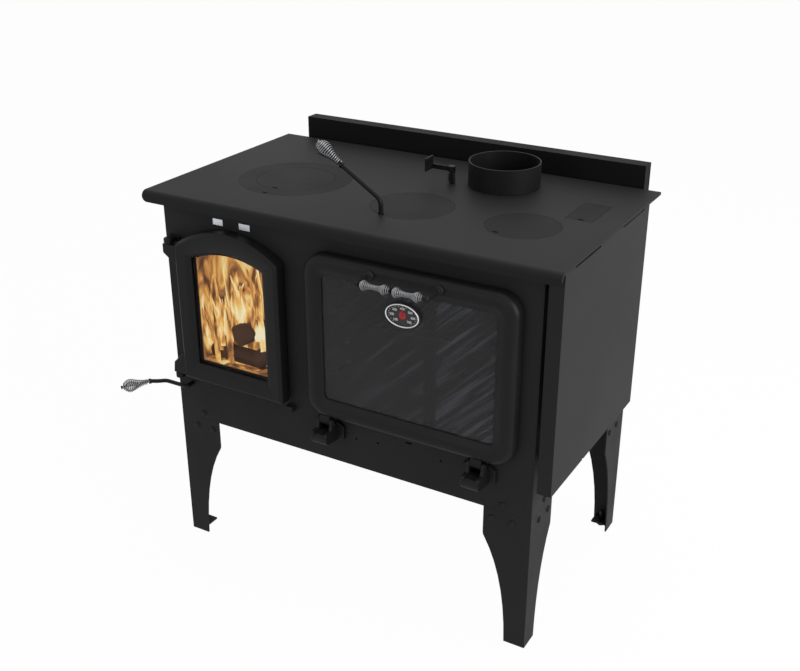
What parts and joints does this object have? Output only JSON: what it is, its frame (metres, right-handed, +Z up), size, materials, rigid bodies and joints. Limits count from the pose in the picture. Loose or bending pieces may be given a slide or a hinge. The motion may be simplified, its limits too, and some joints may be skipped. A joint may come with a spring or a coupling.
{
  "type": "wood cookstove",
  "caption": "Free-standing wood cookstove with arched fire door, drop-down oven door, lift-out cooking lids, flue collar and four sheet legs.",
  "frame": {"origin": "middle of the floor area that the stove covers, at floor level", "axes": "+Z up, the doors face -Y, +X to the right seen from the front"},
  "size_m": [0.9864, 0.6562, 0.9628],
  "materials": {
    "black_paint": "matt high-temperature black paint on sheet steel",
    "black_cast_iron": "matt black painted cast iron",
    "chrome_wire": "bright wound wire",
    "door_glass": "clear heat-proof glass with a smoky tint",
    "rope_seal": "woven glass-fibre rope",
    "firebrick": "rough pale fireclay",
    "zinc_plate": "bright zinc-plated steel",
    "red_paint": "satin red paint",
    "dark_steel": "heat-blackened steel"
  },
  "bodies": {
    "stove": {"front_panel": "black_paint", "left_side_panel": "black_paint", "right_side_panel": "black_paint", "rear_panel": "black_paint", "bottom_panel": "black_paint", "window_strip": "zinc_plate", "cooktop": "black_paint", "flue_collar": "dark_steel", "right_side_shield": "black_paint", "rear_heat_shield": "black_paint", "leg_front_left": "black_paint", "leg_bracket_front_left": "dark_steel", "levelling_bolt_front_left": "zinc_plate", "leg_front_right": "black_paint", "leg_bracket_front_right": "dark_steel", "levelling_bolt_front_right": "zinc_plate", "leg_rear_right": "black_paint", "leg_bracket_rear_right": "dark_steel", "levelling_bolt_rear_right": "zinc_plate", "leg_rear_left": "black_paint", "leg_bracket_rear_left": "dark_steel", "levelling_bolt_rear_left": "zinc_plate", "fire_hinge_upper": "black_cast_iron", "fire_hinge_lower": "black_cast_iron", "oven_hinge_left": "black_cast_iron", "oven_hinge_right": "black_cast_iron", "firebox_shell": "dark_steel", "brick_floor": "firebrick", "brick_left": "firebrick", "brick_right": "firebrick", "brick_rear": "firebrick", "baffle": "dark_steel", "oven_liner": "dark_steel", "flue_wall": "dark_steel"},
    "large_lid_ring": {"lid_ring": "black_cast_iron"},
    "large_lid_inner": {"lid_inner": "black_cast_iron"},
    "middle_lid": {"lid_centre": "black_cast_iron"},
    "lifter": {"lifter_rod": "dark_steel", "lifter_grip": "chrome_wire"},
    "small_lid": {"lid_right": "black_cast_iron"},
    "soot_cover": {"cleanout_cover": "black_cast_iron"},
    "damper": {"damper_lever": "dark_steel", "damper_spring": "dark_steel", "damper_flap": "dark_steel"},
    "fire_door": {"fire_door_frame": "black_cast_iron", "fire_door_glass": "door_glass", "fire_door_retainer": "dark_steel", "fire_door_gasket": "rope_seal"},
    "oven_door": {"oven_door_frame": "black_cast_iron", "oven_door_glass": "door_glass", "oven_door_retainer": "dark_steel", "oven_door_gasket": "rope_seal", "oven_handle_bar": "dark_steel", "oven_grip_left": "chrome_wire", "oven_grip_right": "chrome_wire", "gauge_body": "chrome_wire"},
    "needle": {"gauge_needle": "red_paint"},
    "air_control": {"air_lever": "dark_steel", "air_lever_grip": "chrome_wire"},
    "rack": {"oven_rack": "chrome_wire"}
  },
  "joints": [
    {"name": "large_lid_ring_lift", "type": "slide", "parent": "stove", "child": "large_lid_ring", "axis": [0, 0, 1], "range_m": [0, 0.1]},
    {"name": "large_lid_inner_lift", "type": "slide", "parent": "large_lid_ring", "child": "large_lid_inner", "axis": [0, 0, 1], "range_m": [0, 0.1]},
    {"name": "middle_lid_lift", "type": "slide", "parent": "stove", "child": "middle_lid", "axis": [0, 0, 1], "range_m": [0, 0.1]},
    {"name": "lifter_lift", "type": "slide", "parent": "middle_lid", "child": "lifter", "axis": [0, 0, 1], "range_m": [0, 0.08]},
    {"name": "small_lid_lift", "type": "slide", "parent": "stove", "child": "small_lid", "axis": [0, 0, 1], "range_m": [0, 0.1]},
    {"name": "soot_cover_lift", "type": "slide", "parent": "stove", "child": "soot_cover", "axis": [0, 0, 1], "range_m": [0, 0.1]},
    {"name": "damper_turn", "type": "hinge", "parent": "stove", "child": "damper", "pos_m": [0.08935, 0.11952, 0.8342], "axis": [0, 0, 1], "range_deg": [0, 90]},
    {"name": "fire_door_swing", "type": "hinge", "parent": "stove", "child": "fire_door", "pos_m": [-0.38315, -0.24708, 0.712], "axis": [0, 0, 1], "range_deg": [-110, 0]},
    {"name": "oven_door_drop", "type": "hinge", "parent": "stove", "child": "oven_door", "pos_m": [0.18935, -0.24408, 0.411], "axis": [1, 0, 0], "range_deg": [0, 90]},
    {"name": "gauge_needle_turn", "type": "hinge", "parent": "oven_door", "child": "needle", "pos_m": [0.18485, -0.25508, 0.6925], "axis": [0, 1, 0], "range_deg": [-120, 120]},
    {"name": "air_control_turn", "type": "hinge", "parent": "stove", "child": "air_control", "pos_m": [-0.36715, -0.22708, 0.397], "axis": [0, 1, 0], "range_deg": [-35, 0]},
    {"name": "rack_slide", "type": "slide", "parent": "stove", "child": "rack", "axis": [0, -1, 0], "range_m": [0, 0.06]}
  ]
}
